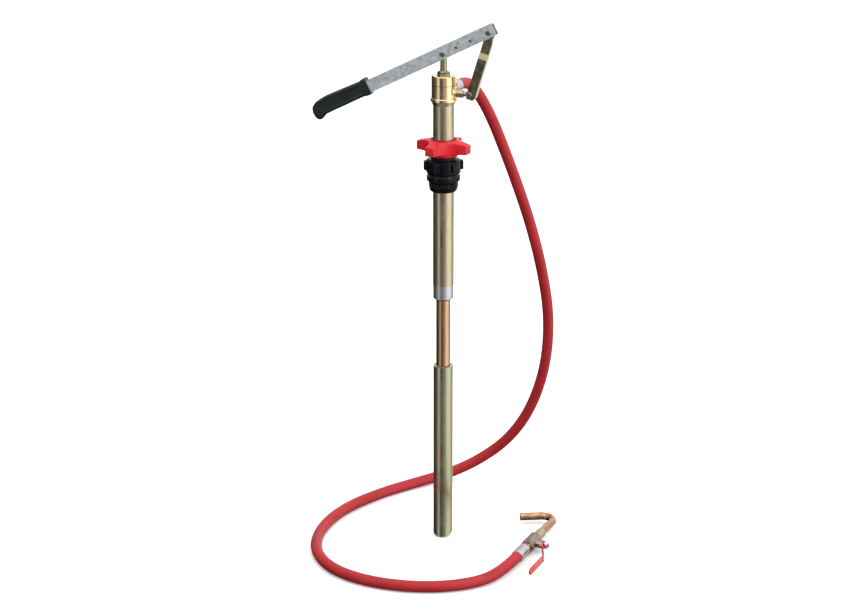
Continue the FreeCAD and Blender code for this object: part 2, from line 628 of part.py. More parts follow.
def outlet_valve():
    """The ball valve on the hose's end: tail, body, ball, seats, stem, gland nut and handle."""
    centre = S["valve_centre"]
    barb_r = half("barb_outer")
    keep("valve_ferrule", ring(half("ferrule_outer"), barb_r, 0, S["ferrule_length"]), VALVE)
    shank = cylinder(barb_r - 0.1, 0, S["ferrule_length"] + 3)
    flats = hexagon(S["tail_flats"], S["ferrule_length"] + 2, S["ferrule_length"] + 11)
    thread = cylinder(9.5, S["ferrule_length"] + 10, 60)
    keep("hose_tail", cut(fused(shank, flats, thread), cylinder(5, -1, 61)), VALVE)

    ball_r = half("valve_ball")
    barrel = fused(hexagon(S["valve_flats"], 50, 60), cylinder(half("valve_outer"), 60, 92),
                   hexagon(S["valve_flats"], 91, 100), lying(8, "X", 8, 22, 0, centre))
    body = cut(barrel, cylinder(9.55, 49, 60.5), cylinder(ball_r + 0.2, centre - 11.5, centre + 11.5),
               cylinder(6.5, 55, 95), cylinder(8.2, 92, 101), lying(6.4, "X", 14, 23, 0, centre),
               lying(half("stem_outer") + GAP, "X", 8, 23, 0, centre))
    keep("valve_body", body, VALVE)
    sphere = ball(ball_r, 0, 0, centre)
    flat = block((ball_r - 1, ball_r + 1), (-12, 12), (centre - 12, centre + 12))
    keep("valve_ball", cut(sphere, cylinder(6, centre - 12, centre + 12), flat), VALVE)
    cup = ball(ball_r + 0.05, 0, 0, centre)
    seats = fused(ring(ball_r + 0.15, 6.5, centre - 11.5, centre - 8),
                  ring(ball_r + 0.15, 6.5, centre + 8, centre + 11.5))
    keep("valve_seats", cut(seats, cup), VALVE)
    stem_r = half("stem_outer")
    keep("valve_stem", placed(lying(stem_r, "X", ball_r - 1, 39, 0, centre), VALVE))
    packing = cut(lying(6.35, "X", 14, 20, 0, centre), lying(stem_r + GAP, "X", 13, 21, 0, centre))
    keep("stem_packing", packing, VALVE)
    gland = fused(lying(6.35, "X", 20, 22, 0, centre), hexagon(15, 22, 26.5, "X", 0, centre))
    keep("stem_gland_nut", cut(gland, lying(stem_r + GAP, "X", 19, 28, 0, centre)), VALVE)

    # The handle is one strip: a hub on the stem, a crank outwards and a blade along the pipe.
    inner, thick = 28.0, S["handle_thick"]
    outer = S["handle_offset"]
    strip = plate([
        (inner, centre + 9), (as_size(inner) + thick, centre + 9), (as_size(inner) + thick, centre - 13),
        (outer, centre - 60), (outer, centre - 137), (outer - thick, centre - 137),
        (outer - thick, centre - 59), (inner, centre - 12.5),
    ], "XZ", half("handle_wide"), half("handle_wide"))
    ends = plate([
        (-half("handle_wide") + 4, centre + 10), (-half("handle_wide"), centre + 5),
        (-half("handle_wide"), centre - 130), (-half("handle_wide") + 5, centre - 138),
        (half("handle_wide") - 5, centre - 138), (half("handle_wide"), centre - 130),
        (half("handle_wide"), centre + 5), (half("handle_wide") - 4, centre + 10),
    ], "YZ", 0, 70)
    hole = lying(stem_r, "X", 20, 40, 0, centre)
    keep("valve_handle", cut(common(strip, ends), hole), VALVE)
    nut = hexagon(13, 30.5, 36.5, "X", 0, centre, turn=20.0)
    keep("handle_nut", cut(nut, lying(stem_r, "X", 29, 40, 0, centre)), VALVE)


def spout_group():
    """The connector screwed in the valve and the bent tube that hooks over a can's rim."""
    start = S["spout_start"]
    spout_r = half("spout_outer")
    connector = turned([
        (6.5, 92), (8.15, 92), (8.15, 100), (half("connector_outer"), 100),
        (half("connector_outer"), 131), (half("connector_outer") - 1.5, 133), (spout_r, 133),
        (spout_r, start), (6.5, start),
    ])
    keep("spout_connector", connector, VALVE)

    along, side = OUTWARD, -STEM_WAY
    mouth = Vector(HOSE_MOUTH[0], HOSE_MOUTH[1], VALVE_LEVEL)
    turn = math.radians(DRIVING_SIZES["spout_turn"])
    corner = mouth + along * DRIVING_SIZES["spout_corner"]
    tip = corner + (along * math.cos(turn) + side * math.sin(turn)) * DRIVING_SIZES["spout_leg"]
    radius = DRIVING_SIZES["spout_outer"] / 2
    shape, length = swept([mouth + along * DRIVING_SIZES["spout_start"], corner, tip],
                          lambda before, after, angle: DRIVING_SIZES["spout_bend"],
                          [radius, radius - DRIVING_SIZES["spout_wall"]])
    spout = doc.addObject("Part::Feature", "Spout")
    spout.Shape = shape
    keep("outlet_spout", spout)
    print("spout tip", [round(c, 2) for c in tip], "length %.0f" % length)


pump_tube_and_head()
foot_valve()
suction_tubes()
piston_group()
bung_adapter()
star_nut()
lever_group()
link_group()
outlet_fittings()
delivery_hose()
outlet_valve()
spout_group()
doc.recompute()

faults = [o.Label for o in doc.Objects if "Invalid" in o.State or "Error" in o.State]
for piece in PIECES:
    if piece.Shape.isNull() or not piece.Shape.isValid() or not piece.Shape.Solids:
        faults.append(piece.Label)
if faults:
    raise RuntimeError("failed objects: %s" % ", ".join(sorted(set(faults))))

os.makedirs("parts", exist_ok=True)
for piece in PIECES:
    piece.Shape.exportStep("parts/%s.step" % piece.Label)
print(len(PIECES), "sub-parts written")
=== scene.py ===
"""Looks of a hand-lever drum pump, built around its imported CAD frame."""
import json
import math

import bmesh
import bpy
from mathutils import Matrix, Vector


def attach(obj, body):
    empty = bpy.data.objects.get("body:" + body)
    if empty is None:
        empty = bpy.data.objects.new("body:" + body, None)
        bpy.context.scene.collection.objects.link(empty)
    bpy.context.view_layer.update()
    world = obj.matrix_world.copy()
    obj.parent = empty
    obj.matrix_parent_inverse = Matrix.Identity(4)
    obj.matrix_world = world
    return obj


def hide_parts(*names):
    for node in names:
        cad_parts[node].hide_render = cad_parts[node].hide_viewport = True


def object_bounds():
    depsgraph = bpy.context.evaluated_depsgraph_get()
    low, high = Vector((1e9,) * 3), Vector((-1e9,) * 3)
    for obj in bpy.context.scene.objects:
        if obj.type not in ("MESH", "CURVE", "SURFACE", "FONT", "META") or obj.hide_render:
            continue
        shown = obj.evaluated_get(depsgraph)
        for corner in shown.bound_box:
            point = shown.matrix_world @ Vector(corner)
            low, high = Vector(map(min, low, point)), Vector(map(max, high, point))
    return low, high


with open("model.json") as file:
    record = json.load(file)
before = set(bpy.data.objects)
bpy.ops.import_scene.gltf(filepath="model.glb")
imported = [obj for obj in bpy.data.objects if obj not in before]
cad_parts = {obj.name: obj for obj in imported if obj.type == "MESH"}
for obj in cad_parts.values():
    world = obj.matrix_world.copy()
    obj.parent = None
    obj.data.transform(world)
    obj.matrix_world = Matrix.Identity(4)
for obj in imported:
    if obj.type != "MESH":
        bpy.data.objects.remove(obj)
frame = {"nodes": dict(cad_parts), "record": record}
CAD_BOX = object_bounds()
MM = 0.001

# ------------------------------------------------------------------ places
# Places and sizes are in mm from here on, and angles in degrees, unless a comment says otherwise.


def heading(angle, rise=0.0):
    """The unit vector at an angle from +X in the horizontal plane, lifted by a rise."""
    flat = math.cos(math.radians(rise))
    return Vector((flat * math.cos(math.radians(angle)), flat * math.sin(math.radians(angle)),
                   math.sin(math.radians(rise))))


OUTWARD = heading(80)                   # along the outlet and the valve's pipe
STEM_WAY = heading(-10)                 # along the valve's stem
UP = Vector((0, 0, 1))
OUTLET_AT = (0, 0, 179)                 # where the outlet's axis crosses the pump's
PUMP_FERRULE = (43.5, 67.7)             # its two ends, along the outlet's axis
VALVE_MOUTH = (183.5, -105.1, -754)     # where the hose enters the valve's ferrule
VALVE_FERRULE = (0.0, 38.0)             # its two ends, along the valve's axis
LEVER_PIVOT = (0, 0, 254.2)
LEVER_TILT = -26.5
LINK_SLOPE = 16.8                       # between the link and the vertical, about Y


def pipe_frame(origin):
    """Local Z along the outlet's heading and local X along the valve's stem, at a point."""
    turn = Matrix((STEM_WAY, -UP, OUTWARD)).transposed().to_4x4()
    return Matrix.Translation(Vector(origin) * MM) @ turn


def turned_frame(origin, angle):
    """A frame at a point, turned about Y by an angle."""
    return Matrix.Translation(Vector(origin) * MM) @ Matrix.Rotation(math.radians(angle), 4, "Y")


OUTLET = pipe_frame(OUTLET_AT)
VALVE = pipe_frame(VALVE_MOUTH)
LEVER = turned_frame(LEVER_PIVOT, LEVER_TILT)
PLAIN = Matrix.Identity(4)

# ------------------------------------------------------------------ camera

CAMERA_AT = (1.0014, -3.8220, 1.0156)   # in metres
CAMERA_TILT = 72                        # from straight down
CAMERA_TURN = 15                        # about Z

camera_data = bpy.data.cameras.new("camera")
camera_data.lens = 85.0
camera_data.sensor_width = 36.0
camera = bpy.data.objects.new("camera", camera_data)
camera.location = CAMERA_AT
camera.rotation_euler = (math.radians(CAMERA_TILT), 0, math.radians(CAMERA_TURN))
bpy.context.collection.objects.link(camera)
bpy.context.scene.camera = camera
bpy.context.scene.view_settings.view_transform = "Standard"


# ------------------------------------------------------------------ materials

def join(tree, value, socket):
    """Link an output to a socket, or set the socket's own value."""
    if isinstance(value, bpy.types.NodeSocket):
        tree.links.new(value, socket)
    elif socket.type == "RGBA":
        socket.default_value = (*value, 1.0)
    else:
        socket.default_value = value


class Graph:
    """A material's node tree with short calls for the nodes used here."""

    def __init__(self, name):
        self.material = bpy.data.materials.new(name)
        self.material.use_nodes = True
        self.tree = self.material.node_tree
        self.shader = self.tree.nodes["Principled BSDF"]
        self.places = self.node("ShaderNodeTexCoord").outputs["Object"]

    def node(self, kind, **settings):
        made = self.tree.nodes.new(kind)
        for key, value in settings.items():
            setattr(made, key, value)
        return made

    def join(self, value, socket):
        join(self.tree, value, socket)

    def places_along(self, axis, along):
        """Coordinates squeezed along a direction, for streaks that run along it."""
        rotate = self.node("ShaderNodeMapping")
        rotate.inputs["Rotation"].default_value = Vector(axis).rotation_difference(UP).to_euler()
        self.join(self.places, rotate.inputs["Vector"])
        scale = self.node("ShaderNodeMapping")
        scale.inputs["Scale"].default_value = (1.0, 1.0, along)
        self.join(rotate.outputs[0], scale.inputs["Vector"])
        return scale.outputs[0]

    def noise(self, scale, detail=3.0, rough=0.5, places=None, twist=0.0):
        made = self.node("ShaderNodeTexNoise")
        self.join(places or self.places, made.inputs["Vector"])
        for key, value in (("Scale", scale), ("Detail", detail), ("Roughness", rough),
                           ("Distortion", twist)):
            made.inputs[key].default_value = value
        return made.outputs["Fac"]

    def cells(self, scale):
        """One random grey for each cell."""
        made = self.node("ShaderNodeTexVoronoi")
        self.join(self.places, made.inputs["Vector"])
        made.inputs["Scale"].default_value = scale
        grey = self.node("ShaderNodeSeparateColor")
        self.join(made.outputs["Color"], grey.inputs[0])
        return grey.outputs[0]

    def ramp(self, value, stops):
        made = self.node("ShaderNodeValToRGB")
        self.join(value, made.inputs[0])
        elements = made.color_ramp.elements
        while len(elements) < len(stops):
            elements.new(0.5)
        for element, (place, colour) in zip(elements, stops):
            element.position = place
            element.color = (*colour, 1.0)
        return made.outputs[0]

    def span(self, value, low, high, start=0.3, stop=0.7):
        """A value's way from start to stop, mapped to low and high and clamped there."""
        made = self.node("ShaderNodeMapRange")
        for key, number in (("Value", value), ("From Min", start), ("From Max", stop),
                            ("To Min", low), ("To Max", high)):
            self.join(number, made.inputs[key])
        return made.outputs[0]

    def mix(self, share, first, second, how="MIX"):
        made = self.node("ShaderNodeMix", data_type="RGBA", blend_type=how)
        self.join(share, made.inputs[0])
        self.join(first, made.inputs[6])
        self.join(second, made.inputs[7])
        return made.outputs[2]

    def sum(self, first, second, share):
        """The first value plus a share of the second."""
        made = self.node("ShaderNodeMath", operation="MULTIPLY_ADD")
        self.join(second, made.inputs[0])
        made.inputs[1].default_value = share
        self.join(first, made.inputs[2])
        return made.outputs[0]

    def edges(self, radius):
        """1 near a sharp edge and 0 on the flat, the mask for painted edge highlights; the radius
        is in metres.
        """
        bevel = self.node("ShaderNodeBevel", samples=4)
        bevel.inputs["Radius"].default_value = radius
        plain = self.node("ShaderNodeNewGeometry")
        alike = self.node("ShaderNodeVectorMath", operation="DOT_PRODUCT")
        self.join(bevel.outputs[0], alike.inputs[0])
        self.join(plain.outputs["Normal"], alike.inputs[1])
        return self.span(alike.outputs["Value"], 1.0, 0.0, start=0.86, stop=0.995)

    def finish(self, colour, rough, height=None, depth=0.0001, strength=0.3, **constants):
        """Fill the shader; the bump's depth is in metres, and constants are the shader's own."""
        self.join(colour, self.shader.inputs["Base Color"])
        self.join(rough, self.shader.inputs["Roughness"])
        for key, value in constants.items():
            self.shader.inputs[key.replace("_", " ")].default_value = value
        if height is not None:
            bump = self.node("ShaderNodeBump")
            bump.inputs["Strength"].default_value = strength
            bump.inputs["Distance"].default_value = depth
            self.join(height, bump.inputs["Height"])
            self.join(bump.outputs[0], self.shader.inputs["Normal"])
        return self.material


def scaled(colour, factor, lift=0.0):
    """A colour made lighter or darker, held at or below white."""
    return tuple(min(1.0, c * factor + lift) for c in colour)


DRAWN_LINE = (0.20, 0.17, 0.10)
STAIN = (0.30, 0.25, 0.15)


def plated(name, axis, tones, rough, streak=26.0, mottle=30.0):
    """Chromated zinc: streaks of its tones along an axis, drawing lines, stains and fine grain."""
    g = Graph(name)
    bands = g.noise(streak, 2.0, 0.55, g.places_along(axis, 0.06), twist=0.3)
    clouds = g.noise(mottle, 3.0, 0.6)
    blend = g.sum(bands, clouds, 0.28)
    steps = [(0.30 + 0.60 * k / (len(tones) - 1), tone) for k, tone in enumerate(tones)]
    lines = g.noise(900.0, 2.0, 0.6, g.places_along(axis, 0.03))
    colour = g.mix(g.span(lines, 0.0, 0.16), g.ramp(blend, steps), DRAWN_LINE, "MULTIPLY")
    stains = g.span(g.noise(85.0, 4.0, 0.65), 0.0, 0.22, start=0.56, stop=0.75)
    colour = g.mix(stains, colour, STAIN)
    gloss = g.span(clouds, rough - 0.05, rough + 0.10)
    return g.finish(colour, gloss, lines, 0.00004, 0.35, Metallic=1.0)


def bare(name, colour, rough, axis=UP, dark=0.55):
    """Plain silvery metal with brushing, soft clouds and a painted highlight along its sharp
    edges.
    """
    g = Graph(name)
    lines = g.noise(700.0, 3.0, 0.6, g.places_along(axis, 0.05))
    clouds = g.noise(55.0, 4.0, 0.6)
    shade = scaled(colour, dark)
    tone = g.mix(g.span(clouds, 0.0, 0.55), colour, shade)
    tone = g.mix(g.span(lines, 0.0, 0.25), tone, shade)
    # painted highlight: a lighter tone along sharp edges
    tone = g.mix(g.edges(0.0006), tone, scaled(colour, 1.35))
    gloss = g.span(clouds, rough - 0.04, rough + 0.12)
    return g.finish(tone, gloss, lines, 0.00004, 0.3, Metallic=1.0)


def galvanised():
    """Dull zinc on the lever: small spangles in cloudy greys, with a painted highlight along its
    edges.
    """
    g = Graph("galvanised")
    spangle = g.cells(260.0)
    clouds = g.noise(120.0, 5.0, 0.62, twist=0.4)
    fine = g.noise(420.0, 3.0, 0.6)
    blend = g.sum(g.sum(clouds, spangle, 0.16), fine, 0.14)
    colour = g.ramp(blend, [(0.40, (0.42, 0.48, 0.51)), (0.60, (0.54, 0.59, 0.61)),
                            (0.80, (0.68, 0.70, 0.71))])
    # painted highlight: edges tinted near-white, as a rounded corner catching light
    colour = g.mix(g.edges(0.0008), colour, (0.80, 0.81, 0.82))
    gloss = g.span(blend, 0.34, 0.52, start=0.4, stop=0.9)
    return g.finish(colour, gloss, blend, 0.0001, 0.25, Metallic=0.85)


def moulded(name, colour, rough, speckle=900.0, depth=0.00003, lift=1.25, **constants):
    """Moulded plastic or rubber: soft tone changes, flow marks, fine texture and a painted
    highlight along sharp edges.
    """
    g = Graph(name)
    clouds = g.noise(40.0, 3.0, 0.6, twist=0.5)
    grain = g.noise(speckle, 2.0, 0.5)
    tone = g.mix(g.span(clouds, 0.0, 1.0), scaled(colour, 0.86), scaled(colour, 1.12))
    # painted highlight: sharp edges made lighter by the lift factor
    tone = g.mix(g.edges(0.0009), tone, scaled(colour, lift, 0.01))
    gloss = g.span(clouds, rough - 0.05, rough + 0.07)
    return g.finish(tone, gloss, grain, depth, 0.4, **constants)


def hose_rubber():
    """Red rubber wrapped in cloth when it was cured: a faint weave, dust and scuffs."""
    g = Graph("hose_red")
    weave = g.noise(1500.0, 1.0, 0.5)
    clouds = g.noise(14.0, 4.0, 0.6)
    scuffs = g.span(g.noise(70.0, 5.0, 0.7), 0.0, 0.20, start=0.58, stop=0.75)
    tone = g.mix(g.span(clouds, 0.0, 1.0), (0.31, 0.011, 0.015), (0.40, 0.019, 0.024))
    tone = g.mix(scuffs, tone, (0.50, 0.13, 0.12))
    gloss = g.span(clouds, 0.40, 0.52)
    return g.finish(tone, gloss, weave, 0.00005, 0.35, Specular_IOR_Level=0.25)


OLIVE = [(0.27, 0.27, 0.15), (0.40, 0.37, 0.20), (0.36, 0.38, 0.25), (0.50, 0.44, 0.28),
         (0.46, 0.36, 0.27), (0.60, 0.56, 0.38)]
COPPER = [(0.34, 0.24, 0.10), (0.48, 0.32, 0.14), (0.56, 0.33, 0.22), (0.44, 0.30, 0.13),
          (0.60, 0.50, 0.28)]
ORANGE = [(0.52, 0.29, 0.11), (0.46, 0.21, 0.15), (0.60, 0.35, 0.15), (0.40, 0.19, 0.16),
          (0.56, 0.42, 0.20)]
STRAW = [(0.42, 0.42, 0.26), (0.56, 0.50, 0.32), (0.66, 0.50, 0.28)]
GOLD = [(0.68, 0.56, 0.24), (0.80, 0.66, 0.34), (0.86, 0.66, 0.38), (0.76, 0.66, 0.34)]
ALONG_LINK = (math.sin(math.radians(LINK_SLOPE)), 0, math.cos(math.radians(LINK_SLOPE)))

MATERIALS = {
    "yellow_zinc": plated("yellow_zinc", UP, OLIVE, 0.27),
    "gold_zinc": plated("gold_zinc", UP, COPPER, 0.24),
    "plated_rod": plated("plated_rod", UP, OLIVE[:4], 0.18),
    "silver_zinc": bare("silver_zinc", (0.54, 0.54, 0.57), 0.32, dark=0.72),
    "galvanised": galvanised(),
    "bolt_steel": bare("bolt_steel", (0.58, 0.58, 0.58), 0.14),
    "ferrule_silver": bare("ferrule_silver", (0.54, 0.53, 0.56), 0.30, OUTWARD, 0.75),
    "valve_nickel": bare("valve_nickel", (0.34, 0.29, 0.25), 0.24, OUTWARD, 0.6),
    "chrome_nut": bare("chrome_nut", (0.78, 0.78, 0.80), 0.12, dark=0.8),
    "black_grip": moulded("black_grip", (0.006, 0.011, 0.011), 0.42, 1400.0, 0.00005,
                          Specular_IOR_Level=0.32),
    "star_red": moulded("star_red", (0.62, 0.008, 0.020), 0.30, Specular_IOR_Level=0.3),
    "adapter_black": moulded("adapter_black", (0.003, 0.003, 0.005), 0.20,
                             Specular_IOR_Level=0.14),
    "hose_red": hose_rubber(),
    "handle_red": moulded("handle_red", (0.56, 0.012, 0.010), 0.24, 300.0, lift=1.1,
                          Specular_IOR_Level=0.35),
    "seal_rubber": moulded("seal_rubber", (0.012, 0.012, 0.012), 0.6),
    "white_seat": moulded("white_seat", (0.80, 0.80, 0.76), 0.45, lift=1.05),
    "bush_plastic": moulded("bush_plastic", (0.70, 0.68, 0.58), 0.45, lift=1.05),
}
HEAD_PLATING = plated("head_plating", UP, GOLD, 0.13, 20.0)
OWN_LOOKS = {                           # nodes whose plating differs from the rest of their slot
    "pump_head": HEAD_PLATING,
    "head_cap": HEAD_PLATING,
    "link_channel": plated("link_plating", ALONG_LINK, STRAW, 0.13, 34.0, 60.0),
    "spout_connector": plated("connector_plating", OUTWARD, OLIVE, 0.26),
    "outlet_spout": plated("spout_plating", OUTWARD, ORANGE, 0.16, 60.0, 45.0),
}
SLOT_OF = {part["node"]: part["material_slot"] for part in frame["record"]["subparts"]}
BODY_OF = {node: body for body, nodes in frame["record"]["behaviour"]["bodies"].items()
           for node in nodes}


def look_of(node):
    """The material a CAD node shows, and the piece that replaces it."""
    return OWN_LOOKS.get(node) or MATERIALS[SLOT_OF[node]]


for cad_node in SLOT_OF:
    slots = frame["nodes"][cad_node].data.materials
    slots.clear()
    slots.append(look_of(cad_node))


# ------------------------------------------------------------------ pieces

ROUND_BELOW = 32.0                      # edges that turn less than this are shaded smooth


def piece(name, bm, node, place=PLAIN, sharp=ROUND_BELOW):
    """Turn a bmesh into a shown piece that replaces a CAD node and rides on its body."""
    bmesh.ops.recalc_face_normals(bm, faces=bm.faces)
    mesh = bpy.data.meshes.new(name)
    bm.to_mesh(mesh)
    bm.free()
    mesh.transform(place)
    mesh.shade_smooth()
    mesh.set_sharp_from_angle(angle=math.radians(sharp))
    mesh.materials.append(look_of(node))
    made = bpy.data.objects.new(name, mesh)
    bpy.context.collection.objects.link(made)
    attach(made, BODY_OF[node])
    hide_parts(node)
    return made


SAME_POINT = 2e-6                       # in metres
SAME_PLANE = 0.4
HARD_EDGE = 30.0


def edged(node, width, sharp=ROUND_BELOW):
    """A CAD node's shape with its hard edges rounded over a width, as a piece of its own."""
    bm = bmesh.new()
    bm.from_mesh(frame["nodes"][node].data)
    bmesh.ops.remove_doubles(bm, verts=bm.verts, dist=SAME_POINT)
    bmesh.ops.dissolve_limit(bm, angle_limit=math.radians(SAME_PLANE), verts=bm.verts,
                             edges=bm.edges)
    hard = [e for e in bm.edges if len(e.link_faces) == 2
            and e.calc_face_angle() > math.radians(HARD_EDGE)]
    bmesh.ops.bevel(bm, geom=hard, offset=width * MM, offset_type="OFFSET", segments=2,
                    profile=0.5, affect="EDGES", clamp_overlap=True)
    made = piece(node + "_edged", bm, node, sharp=sharp)
    flat = made.modifiers.new("flat_faces", "WEIGHTED_NORMAL")
    flat.keep_sharp = True
    return made


def skin(bm, rings):
    """Four-sided faces from each ring of points to the next."""
    for here, after in zip(rings, rings[1:]):
        for k in range(len(here)):
            j = (k + 1) % len(here)
            bm.faces.new((here[k], after[k], after[j], here[j]))


def spin(bm, steps, section_at):
    """A solid turned about Z, from its closed section of (radius, height) points at an angle."""
    rings = []
    for index in range(steps):
        angle = 2 * math.pi * index / steps
        rings.append([bm.verts.new(Vector((r * math.cos(angle), r * math.sin(angle), z)) * MM)
                      for r, z in section_at(angle)])
    skin(bm, rings + rings[:1])


CORNER_STEPS = 3                        # lines across a rounded corner
CORNER_RADIUS = 0.5
TOO_SMALL = 0.02                        # a corner rounded by less than this stays sharp


def soft_outline(corners):
    """A closed outline with rounded corners; a third value is a corner's own radius."""
    points = []
    total = len(corners)
    for index, corner in enumerate(corners):
        here = Vector(corner[:2])
        radius = corner[2] if len(corner) > 2 else CORNER_RADIUS
        before = Vector(corners[index - 1][:2]) - here
        after = Vector(corners[(index + 1) % total][:2]) - here
        longest = min(before.length, after.length) * 0.48
        back = min(radius / max(math.tan(before.angle(after) / 2), 1e-3), longest)
        if back < TOO_SMALL:
            points.append(here)
            continue
        first, last = here + before.normalized() * back, here + after.normalized() * back
        for k in range(CORNER_STEPS + 1):
            t = k / CORNER_STEPS
            points.append(first * (1 - t) ** 2 + here * 2 * t * (1 - t) + last * t * t)
    return [tuple(p) for p in points]


HOSE_LEAVES = Vector(OUTLET_AT) + OUTWARD * PUMP_FERRULE[1]
HOSE_ENDS = Vector(VALVE_MOUTH)
HOSE_RADIUS = 11.5
HOSE_ROUTE = [                          # straight out of one ferrule and straight into the other
    HOSE_LEAVES, HOSE_LEAVES + OUTWARD * 38,
    (28, 136, 161), (42, 161, 127), (59, 180, 81), (78, 198, 21), (102, 215, -54),
    (128, 233, -143), (150, 254, -246), (164, 275, -360), (155, 293, -478), (121, 308, -587),
    (70, 317, -668), (5, 313, -723), (-57, 289, -753), (-115, 236, -759), (-184, 147, -759),
    (-235, 46, -759), (-251, -67, -759), (-228, -175, -759), (-162, -253, -759),
    (-63, -288, -759), (49, -280, -759), (139, -230, -758),
    HOSE_ENDS - OUTWARD * 60, HOSE_ENDS,
]


def hose():
    """The delivery hose on its route, from the pump's ferrule to the valve's."""
    curve = bpy.data.curves.new("hose", "CURVE")
    curve.dimensions = "3D"
    spline = curve.splines.new("NURBS")
    spline.points.add(len(HOSE_ROUTE) - 1)
    for point, place in zip(spline.points, HOSE_ROUTE):
        point.co = (*(Vector(place) * MM), 1.0)
    spline.order_u = 3
    spline.use_endpoint_u = True
    spline.resolution_u = 14
    curve.bevel_depth = HOSE_RADIUS * MM
    curve.bevel_resolution = 8
    curve.use_fill_caps = True
    curve.materials.append(MATERIALS["hose_red"])
    made = bpy.data.objects.new("hose", curve)
    bpy.context.collection.objects.link(made)
    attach(made, "pump")
    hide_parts("delivery_hose")
    return made


FERRULE_BORE, FERRULE_BAND, FERRULE_OUTER = 7.6, 12.5, 12.9
CRIMPS = 8                              # dents round a crimp band
CRIMP_DEPTH = 0.12


def ferrule(node, low, high, place):
    """A crimped sleeve: a rolled lip at the hose's end, two crimp bands and a shoulder."""
    outline = soft_outline([
        (FERRULE_BORE, low), (12.2, low), (FERRULE_OUTER, low + 1.6), (FERRULE_OUTER, low + 4),
        (FERRULE_BAND, low + 5.2), (FERRULE_BAND, low + 10), (12.85, low + 11),
        (12.85, high - 11.4), (12.45, high - 10.4), (12.45, high - 4.6),
        (FERRULE_OUTER, high - 3.4), (FERRULE_OUTER, high - 0.6), (12.3, high),
        (FERRULE_BORE, high)])

    def section_at(angle):
        dent = CRIMP_DEPTH * (1 + math.cos(CRIMPS * angle))
        return [(r - dent if 8 < r < 12.6 and low + 4.5 < z < high - 4 else r, z)
                for r, z in outline]

    bm = bmesh.new()
    spin(bm, 96, section_at)
    return piece(node + "_crimped", bm, node, place)


LOBE_AT = math.radians(75)
LOBE_REACH = 56.5                       # from the axis to a lobe's flat end
SCALLOP_AT, SCALLOP_RADIUS = 74.7, 42.7    # the hollows between the lobes
LOBE_CORNER = 2.2
STAR_TOP, STAR_UNDER = 82.0, 58.0


def star_reach(angle):
    """The star's outline at an angle: a flat lobe end or a scallop, blended where they meet."""
    eighth = math.pi / 4
    off = (angle - LOBE_AT + eighth) % (2 * eighth) - eighth
    flat = LOBE_REACH / math.cos(off)
    side = eighth - abs(off)
    inside = SCALLOP_RADIUS ** 2 - (SCALLOP_AT * math.sin(side)) ** 2
    scallop = SCALLOP_AT * math.cos(side) - math.sqrt(inside) if inside > 0 else math.inf
    near = max(0.0, LOBE_CORNER - abs(flat - scallop))
    return min(flat, scallop) - near ** 2 / (4 * LOBE_CORNER)


def star_crown(radius):
    """The height of the star's coned top."""
    return STAR_TOP - max(0.0, radius - 27.6) * 0.215


def star_section(angle):
    """The star's section: its skirt, underside, rim, coned top, raised hub and stepped bore."""
    reach = star_reach(angle)
    under = STAR_UNDER - 0.05 * (LOBE_REACH - reach)
    rows = [(25.05, 50.5), (25.6, 50.0), (28.6, 50.0), (29.6, 50.6), (30.1, 52.4),
            (min(30.8, reach - 1.2), 54.6)]
    for share in (0.15, 0.5, 0.85):
        r = 30.9 + (reach - 1.55 - 30.9) * share
        rows.append((max(r, min(30.85, reach - 1.1)), under - 1.2 * (1 - share) ** 2))
    crown = star_crown(reach)
    rows += [(reach - 1.5, under), (reach - 0.7, under + 0.25), (reach - 0.2, under + 0.8),
             (reach, under + 1.6), (reach - 0.25, (under + crown) / 2), (reach, crown - 1.7),
             (reach - 0.2, crown - 0.85), (reach - 0.7, star_crown(reach - 0.7) - 0.2),
             (reach - 1.5, star_crown(reach - 1.5))]
    for share in (0.75, 0.5, 0.25):
        r = 29.0 + (reach - 1.6 - 29.0) * share
        rows.append((r, star_crown(r) - 0.35 * math.sin(math.pi * share)))
    return rows + [(28.4, 81.75), (27.9, 82.35), (27.2, 82.5), (26.2, 82.5), (25.6, 82.1),
                   (25.4, 81.2), (25.4, 78.9), (25.0, 78.5), (22.1, 78.5), (21.6, 78.0),
                   (21.6, 70.4), (22.0, 70.0), (25.05, 70.0)]


def star_nut():
    """The four-lobed hand nut."""
    bm = bmesh.new()
    spin(bm, 256, star_section)
    return piece("star_nut_moulded", bm, "star_nut", sharp=50)


def block(bm, low, high, place, round_by, segments):
    """A box with rounded edges, added to a bmesh."""
    made = bmesh.ops.create_cube(bm, size=1.0)
    size = Vector(high) - Vector(low)
    centre = (Vector(high) + Vector(low)) / 2
    matrix = place @ Matrix.Translation(centre * MM) @ Matrix.Diagonal((*(size * MM), 1))
    bmesh.ops.transform(bm, matrix=matrix, verts=made["verts"])
    edges = {e for v in made["verts"] for e in v.link_edges}
    bmesh.ops.bevel(bm, geom=list(edges), offset=round_by * MM, segments=segments, profile=0.5,
                    affect="EDGES", clamp_overlap=True)


THREAD_RADIUS, THREAD_PITCH, THREAD_DEPTH = 29.8, 2.309, 1.0
THREAD_LOW, THREAD_ROWS, ROWS_PER_TURN = -11.0, 29, 6
FIRST_LUG, LUGS = 22, 6
NOSE = [(21.2, -23.3, 0.3), (22.2, -23.4, 0.8), (26.4, -21.4, 2.5), (28.6, -16.0, 3),
        (28.9, -12.0, 0.6)]             # radius, height and corner radius
COLLAR = [(29.1, 0.6, 0.3), (30.6, 0.7, 0.2), (32.9, 0.0, 0.2), (33.7, 1.0, 0.8),
          (33.7, 8.2, 1.6), (31.4, 11.8, 1.4), (30.8, 13.4, 0.8), (33.4, 15.0, 1.2),
          (34.4, 17.0, 1.0), (34.4, 41.2, 1.2), (31.2, 43.0, 1.2), (25.1, 43.4, 0.4),
          (25.0, 61.8, 0.3), (23.9, 61.9, 0.2), (23.9, 46.0, 0.2), (21.2, 46.0, 0.2)]


